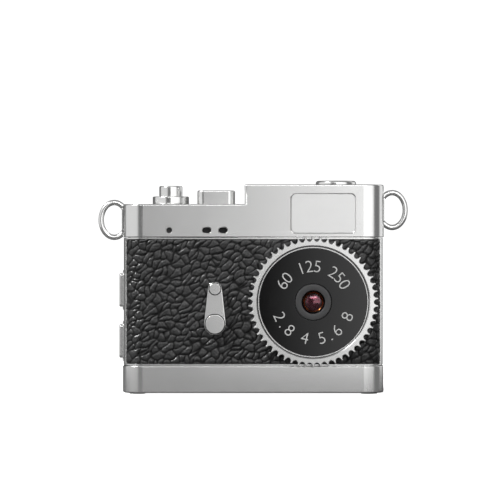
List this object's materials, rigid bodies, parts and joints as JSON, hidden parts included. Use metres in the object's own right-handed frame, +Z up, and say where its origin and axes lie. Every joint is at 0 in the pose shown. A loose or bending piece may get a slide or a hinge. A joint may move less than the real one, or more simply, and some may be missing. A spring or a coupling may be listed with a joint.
{
  "type": "miniature digital camera",
  "caption": "Miniature box camera with plated top and base, black leatherette band, toothed lens ring with a small lens, front lever, top and side keys and strap loops.",
  "frame": {"origin": "middle of the base cover's bottom face", "axes": "+X to the right seen from the front, -Y out of the lens, +Z up"},
  "size_m": [0.0614, 0.0161, 0.042],
  "materials": {
    "plated_cover": "satin silver plating",
    "plated_shell": "moulded shell with satin silver plating",
    "leatherette": "black pebble grain leatherette",
    "turned_metal": "bright turned metal",
    "plated_key": "bright plated",
    "black_panel": "gloss black with white dial marks",
    "barrel_black": "dark grey, fine turned",
    "coated_glass": "coated optical glass",
    "filter_glass": "tinted filter glass",
    "black_plastic": "moulded black",
    "white_plastic": "moulded white",
    "circuit_board": "green solder mask",
    "chip": "moulded epoxy",
    "connector": "moulded natural nylon",
    "steel": "plain steel",
    "brass": "turned brass",
    "battery_wrap": "blue film over foil",
    "wire": "red insulation",
    "flex": "amber film",
    "cloth": "fine black mesh",
    "pad": "grey silicone",
    "display": "dark display",
    "window": "gloss black window"
  },
  "bodies": {
    "case": {"top_cover": "plated_cover", "base_cover": "plated_cover", "viewfinder_plate": "plated_cover", "strap_loop_left": "plated_cover", "strap_loop_right": "plated_cover", "front_shell": "plated_shell", "rear_shell": "plated_shell", "front_leatherette": "leatherette", "rear_leatherette": "leatherette", "shutter_collar": "turned_metal", "lens_panel": "black_panel", "lens_barrel": "barrel_black", "aperture_stop": "barrel_black", "lens_retainer": "barrel_black", "front_lens": "coated_glass", "rear_lens": "coated_glass", "infrared_filter": "filter_glass", "lens_holder": "black_plastic", "switch_housings": "black_plastic", "speaker": "black_plastic", "microphone": "black_plastic", "sensor_board": "circuit_board", "key_board": "circuit_board", "power_board": "circuit_board", "main_board": "circuit_board", "image_sensor": "chip", "board_chips": "chip", "sensor_connector": "connector", "base_screws": "steel", "board_screws": "steel", "shutter_spring": "steel", "card_socket": "steel", "usb_port": "steel", "lever_bush": "brass", "battery": "battery_wrap", "battery_leads": "wire", "display_ribbon": "flex", "speaker_cloth": "cloth", "feet": "pad", "display_module": "display", "display_window": "window"},
    "ring": {"toothed_ring": "turned_metal"},
    "lever": {"lever_arm": "plated_key", "lever_pin": "steel", "lever_clip": "steel"},
    "shutter": {"shutter_button": "plated_key", "shutter_plunger": "white_plastic"},
    "mode": {"mode_key": "plated_key", "mode_plunger": "white_plastic"},
    "power": {"power_button": "plated_key", "power_plunger": "white_plastic"},
    "upper_key": {"upper_side_key": "plated_key", "upper_side_plunger": "white_plastic"},
    "lower_key": {"lower_side_key": "plated_key", "lower_side_plunger": "white_plastic"},
    "card": {"memory_card": "black_plastic"}
  },
  "joints": [
    {"name": "ring_turn", "type": "hinge", "parent": "case", "child": "ring", "pos_m": [0.01175, -0.008, 0.01788], "axis": [0, -1, 0], "continuous": true},
    {"name": "lever_swing", "type": "hinge", "parent": "case", "child": "lever", "pos_m": [-0.0075, -0.007, 0.01355], "axis": [0, -1, 0], "range_deg": [0, 90]},
    {"name": "shutter_press", "type": "slide", "parent": "case", "child": "shutter", "axis": [0, 0, -1], "range_m": [0, 0.0005], "stiffness_N_per_m": 1200, "springref_m": -0.0002, "deforming": ["shutter_spring"]},
    {"name": "mode_press", "type": "slide", "parent": "case", "child": "mode", "axis": [0, 0, -1], "range_m": [0, 0.0003], "stiffness_N_per_m": 1500, "springref_m": -0.0002},
    {"name": "power_press", "type": "slide", "parent": "case", "child": "power", "axis": [0, 0, -1], "range_m": [0, 0.0003], "stiffness_N_per_m": 1500, "springref_m": -0.0002},
    {"name": "upper_key_press", "type": "slide", "parent": "case", "child": "upper_key", "axis": [1, 0, 0], "range_m": [0, 0.0003], "stiffness_N_per_m": 1500, "springref_m": -0.0002},
    {"name": "lower_key_press", "type": "slide", "parent": "case", "child": "lower_key", "axis": [1, 0, 0], "range_m": [0, 0.0003], "stiffness_N_per_m": 1500, "springref_m": -0.0002},
    {"name": "card_slide", "type": "slide", "parent": "case", "child": "card", "axis": [1, 0, 0], "range_m": [0, 0.013]}
  ]
}
